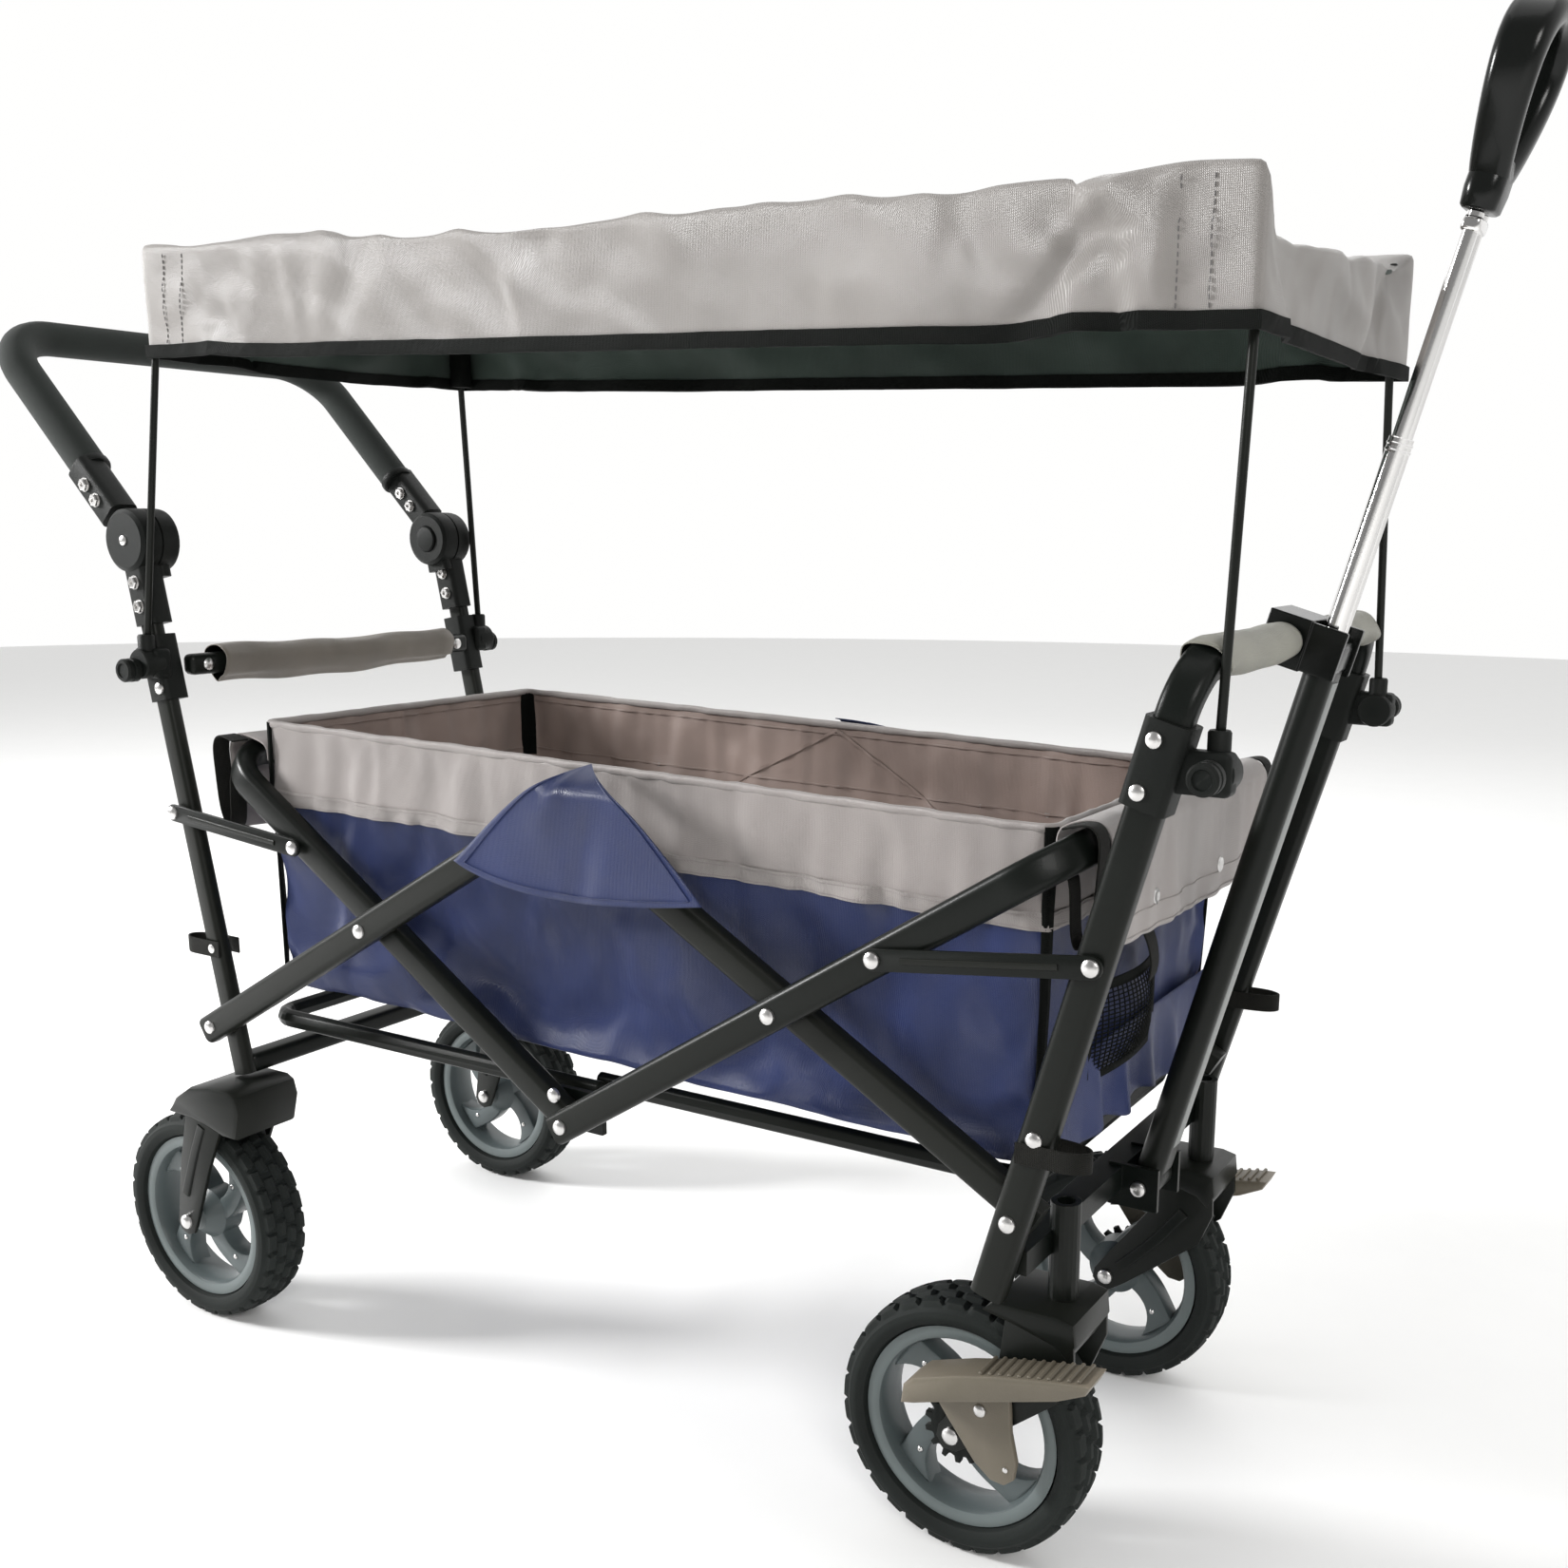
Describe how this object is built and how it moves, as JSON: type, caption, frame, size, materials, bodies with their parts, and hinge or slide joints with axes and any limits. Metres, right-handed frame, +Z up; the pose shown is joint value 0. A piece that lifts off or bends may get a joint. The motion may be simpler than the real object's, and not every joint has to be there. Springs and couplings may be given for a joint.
{
  "type": "kids pull wagon",
  "caption": "Folding four-wheel wagon with a fabric tub, a canopy on thin rods, front casters, a push bar and a telescopic pull handle.",
  "frame": {"origin": "on the ground under the centre of the whole outline", "axes": "+X forward towards the pull handle, +Y to the left, +Z up"},
  "size_m": [1.3395, 0.4662, 1.0621],
  "materials": {
    "frame_black": "satin powder coat",
    "black_plastic": "fine moulded grain",
    "black_foam": "matte closed-cell foam",
    "chrome": "polished",
    "tyre_rubber": "matte",
    "rim_grey": "semi-gloss moulded",
    "pedal_brown": "moulded, ribbed",
    "navy_fabric": "coated polyester weave",
    "grey_fabric": "coated polyester weave"
  },
  "bodies": {
    "rear_frame": {"rear_frame": "frame_black", "rear_grab_bar": "frame_black", "rear_grab_sleeve": "grey_fabric", "tub": "navy_fabric", "canopy": "grey_fabric", "rear_fork_left": "frame_black", "rear_fork_right": "frame_black", "rear_clamp_left": "black_plastic", "rear_clamp_right": "black_plastic", "adjuster_base_left": "black_plastic", "adjuster_base_right": "black_plastic", "rear_rod_left": "frame_black", "rear_rod_right": "frame_black"},
    "braces": {"rear_brace_left": "frame_black", "rear_brace_right": "frame_black"},
    "rear_scissor": {"rear_scissor_frame": "frame_black"},
    "front_braces": {"front_brace_left": "frame_black", "front_brace_right": "frame_black"},
    "front_scissor": {"front_scissor_frame": "frame_black"},
    "front_frame": {"front_frame": "frame_black", "handle_clip": "black_plastic", "front_cross_bar": "frame_black", "top_sleeve_left": "grey_fabric", "top_sleeve_right": "grey_fabric", "front_clamp_left": "black_plastic", "front_clamp_right": "black_plastic", "front_rod_left": "frame_black", "front_rod_right": "frame_black"},
    "rear_links": {"rear_link_left": "frame_black", "rear_link_right": "frame_black"},
    "front_links": {"front_link_left": "frame_black", "front_link_right": "frame_black"},
    "middle_bracket": {"middle_bracket": "frame_black"},
    "rear_floor": {"rear_floor_frame": "frame_black"},
    "front_floor": {"front_floor_frame": "frame_black"},
    "handle": {"handle_tube": "frame_black"},
    "handle_lower": {"handle_stage_lower": "chrome"},
    "handle_upper": {"handle_stage_upper": "chrome", "handle_grip": "black_plastic"},
    "push_bar": {"push_bar": "frame_black", "push_grip": "black_foam"},
    "rear_wheel_left": {"rear_tyre_left": "tyre_rubber", "rear_rim_left": "rim_grey"},
    "caster_left": {"caster_fork_left": "frame_black"},
    "front_wheel_left": {"front_tyre_left": "tyre_rubber", "front_rim_left": "rim_grey"},
    "brake_pedal_left": {"brake_pedal_left": "pedal_brown"},
    "adjuster_button_left": {"adjuster_button_left": "black_plastic"},
    "rear_knob_left": {"rear_knob_left": "black_plastic"},
    "front_knob_left": {"front_knob_left": "black_plastic"},
    "rear_wheel_right": {"rear_tyre_right": "tyre_rubber", "rear_rim_right": "rim_grey"},
    "caster_right": {"caster_fork_right": "frame_black"},
    "front_wheel_right": {"front_tyre_right": "tyre_rubber", "front_rim_right": "rim_grey"},
    "brake_pedal_right": {"brake_pedal_right": "pedal_brown"},
    "adjuster_button_right": {"adjuster_button_right": "black_plastic"},
    "rear_knob_right": {"rear_knob_right": "black_plastic"},
    "front_knob_right": {"front_knob_right": "black_plastic"}
  },
  "joints": [
    {"name": "fold", "type": "hinge", "parent": "rear_frame", "child": "braces", "pos_m": [-0.3822, 0, 0.2925], "axis": [0, -1, 0], "range_deg": [0, 45], "deforming": ["tub", "canopy"]},
    {"name": "rear_scissor", "type": "hinge", "parent": "braces", "child": "rear_scissor", "pos_m": [-0.18245, 0, 0.4095], "axis": [0, -1, 0], "range_deg": [-90, 0]},
    {"name": "front_brace", "type": "hinge", "parent": "braces", "child": "front_braces", "pos_m": [0.0173, 0, 0.5265], "axis": [0, -1, 0], "range_deg": [-90, 0]},
    {"name": "front_scissor", "type": "hinge", "parent": "front_braces", "child": "front_scissor", "pos_m": [0.2258, 0, 0.4044], "axis": [0, -1, 0], "range_deg": [0, 90]},
    {"name": "front_frame", "type": "hinge", "parent": "front_braces", "child": "front_frame", "pos_m": [0.4168, 0, 0.2925], "axis": [0, -1, 0], "range_deg": [0, 45]},
    {"name": "rear_link", "type": "hinge", "parent": "rear_frame", "child": "rear_links", "pos_m": [-0.4282, 0, 0.483], "axis": [0, -1, 0], "range_deg": [0, 66]},
    {"name": "front_link", "type": "hinge", "parent": "front_frame", "child": "front_links", "pos_m": [0.4711, 0, 0.478], "axis": [0, -1, 0], "range_deg": [-63, 0]},
    {"name": "middle_bracket", "type": "hinge", "parent": "rear_scissor", "child": "middle_bracket", "pos_m": [0.005, 0, 0.2835], "axis": [0, -1, 0], "range_deg": [0, 22]},
    {"name": "rear_floor", "type": "hinge", "parent": "rear_frame", "child": "rear_floor", "pos_m": [-0.3762, 0, 0.2925], "axis": [0, -1, 0], "range_deg": [0, 73]},
    {"name": "front_floor", "type": "hinge", "parent": "front_frame", "child": "front_floor", "pos_m": [0.4108, 0, 0.2925], "axis": [0, -1, 0], "range_deg": [-73, 0]},
    {"name": "rear_wheel_left_spin", "type": "hinge", "parent": "rear_frame", "child": "rear_wheel_left", "pos_m": [-0.4197, 0.194, 0.1], "axis": [0, 1, 0], "continuous": true},
    {"name": "caster_left_swivel", "type": "hinge", "parent": "front_frame", "child": "caster_left", "pos_m": [0.4298, 0.146, 0.216], "axis": [0, 0, 1], "continuous": true},
    {"name": "front_wheel_left_spin", "type": "hinge", "parent": "caster_left", "child": "front_wheel_left", "pos_m": [0.3593, 0.146, 0.1], "axis": [0, 1, 0], "continuous": true},
    {"name": "brake_pedal_left_press", "type": "hinge", "parent": "caster_left", "child": "brake_pedal_left", "pos_m": [0.3858, 0.1815, 0.132], "axis": [0, 1, 0], "range_deg": [0, 12]},
    {"name": "rear_knob_left_turn", "type": "hinge", "parent": "rear_frame", "child": "rear_knob_left", "pos_m": [-0.4447, 0.2213, 0.612], "axis": [0, 1, 0], "continuous": true},
    {"name": "front_knob_left_turn", "type": "hinge", "parent": "front_frame", "child": "front_knob_left", "pos_m": [0.5408, 0.22605, 0.604], "axis": [0, 1, 0], "continuous": true},
    {"name": "adjuster_button_left_press", "type": "slide", "parent": "rear_frame", "child": "adjuster_button_left", "axis": [0, 1, 0], "range_m": [0, 0.0035], "stiffness_N_per_m": 300},
    {"name": "rear_wheel_right_spin", "type": "hinge", "parent": "rear_frame", "child": "rear_wheel_right", "pos_m": [-0.4197, -0.194, 0.1], "axis": [0, 1, 0], "continuous": true},
    {"name": "caster_right_swivel", "type": "hinge", "parent": "front_frame", "child": "caster_right", "pos_m": [0.4298, -0.146, 0.216], "axis": [0, 0, 1], "continuous": true},
    {"name": "front_wheel_right_spin", "type": "hinge", "parent": "caster_right", "child": "front_wheel_right", "pos_m": [0.3593, -0.146, 0.1], "axis": [0, 1, 0], "continuous": true},
    {"name": "brake_pedal_right_press", "type": "hinge", "parent": "caster_right", "child": "brake_pedal_right", "pos_m": [0.3858, -0.1815, 0.132], "axis": [0, 1, 0], "range_deg": [0, 12]},
    {"name": "rear_knob_right_turn", "type": "hinge", "parent": "rear_frame", "child": "rear_knob_right", "pos_m": [-0.4447, -0.2213, 0.612], "axis": [0, 1, 0], "continuous": true},
    {"name": "front_knob_right_turn", "type": "hinge", "parent": "front_frame", "child": "front_knob_right", "pos_m": [0.5408, -0.22605, 0.604], "axis": [0, 1, 0], "continuous": true},
    {"name": "adjuster_button_right_press", "type": "slide", "parent": "rear_frame", "child": "adjuster_button_right", "axis": [0, -1, 0], "range_m": [0, 0.0035], "stiffness_N_per_m": 300},
    {"name": "handle_tilt", "type": "hinge", "parent": "front_frame", "child": "handle", "pos_m": [0.4378, 0, 0.252], "axis": [0, 1, 0], "range_deg": [0, 70]},
    {"name": "handle_lower_slide", "type": "slide", "parent": "handle", "child": "handle_lower", "axis": [-0.2607, 0, -0.9654], "range_m": [0, 0.115]},
    {"name": "handle_upper_slide", "type": "slide", "parent": "handle_lower", "child": "handle_upper", "axis": [-0.2607, 0, -0.9654], "range_m": [0, 0.12]},
    {"name": "push_bar_tilt", "type": "hinge", "parent": "rear_frame", "child": "push_bar", "pos_m": [-0.4687, 0, 0.7236], "axis": [0, -1, 0], "range_deg": [-40, 85]}
  ],
  "couplings": [
    {"joint": "rear_scissor", "follows": "fold", "ratio": -2},
    {"joint": "front_brace", "follows": "fold", "ratio": -2},
    {"joint": "front_scissor", "follows": "fold", "ratio": 2},
    {"joint": "front_frame", "follows": "fold", "ratio": 1},
    {"joint": "rear_link", "follows": "fold", "ratio": 1.447},
    {"joint": "front_link", "follows": "fold", "ratio": -1.393},
    {"joint": "middle_bracket", "follows": "fold", "ratio": 0.47},
    {"joint": "rear_floor", "follows": "fold", "ratio": 1.615},
    {"joint": "front_floor", "follows": "fold", "ratio": -1.615}
  ]
}
